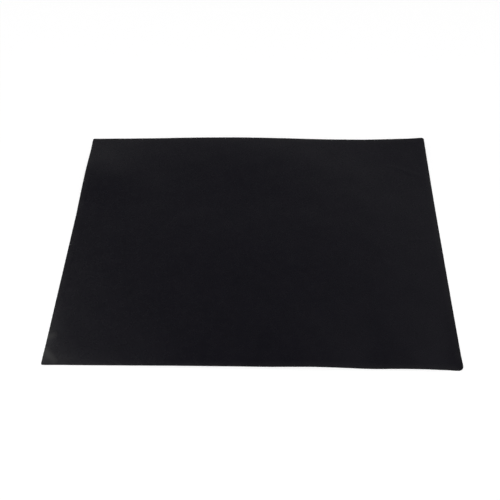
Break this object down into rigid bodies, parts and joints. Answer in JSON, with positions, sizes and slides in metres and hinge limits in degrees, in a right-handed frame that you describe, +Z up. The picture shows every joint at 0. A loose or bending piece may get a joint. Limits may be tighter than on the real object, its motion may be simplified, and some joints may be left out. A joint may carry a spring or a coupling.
{
  "type": "barbecue grill mat",
  "caption": "Plain black barbecue grill mat, a thin sheet of glass cloth coated on both faces with PTFE, lying flat with slightly wavy edges",
  "frame": {"origin": "under the middle of the mat, on the surface it lies on", "axes": "+X along the long side, +Y from the front edge to the back edge, +Z up from the surface"},
  "size_m": [0.4, 0.33, 0.0041],
  "materials": {
    "bottom_coat": "satin black PTFE over a fine plain weave",
    "woven_glass": "dark impregnated glass cloth, plain weave",
    "top_coat": "satin black PTFE over a fine plain weave"
  },
  "bodies": {
    "root": {"bottom_coating": "bottom_coat", "glass_cloth": "woven_glass", "top_coating": "top_coat"}
  },
  "joints": []
}
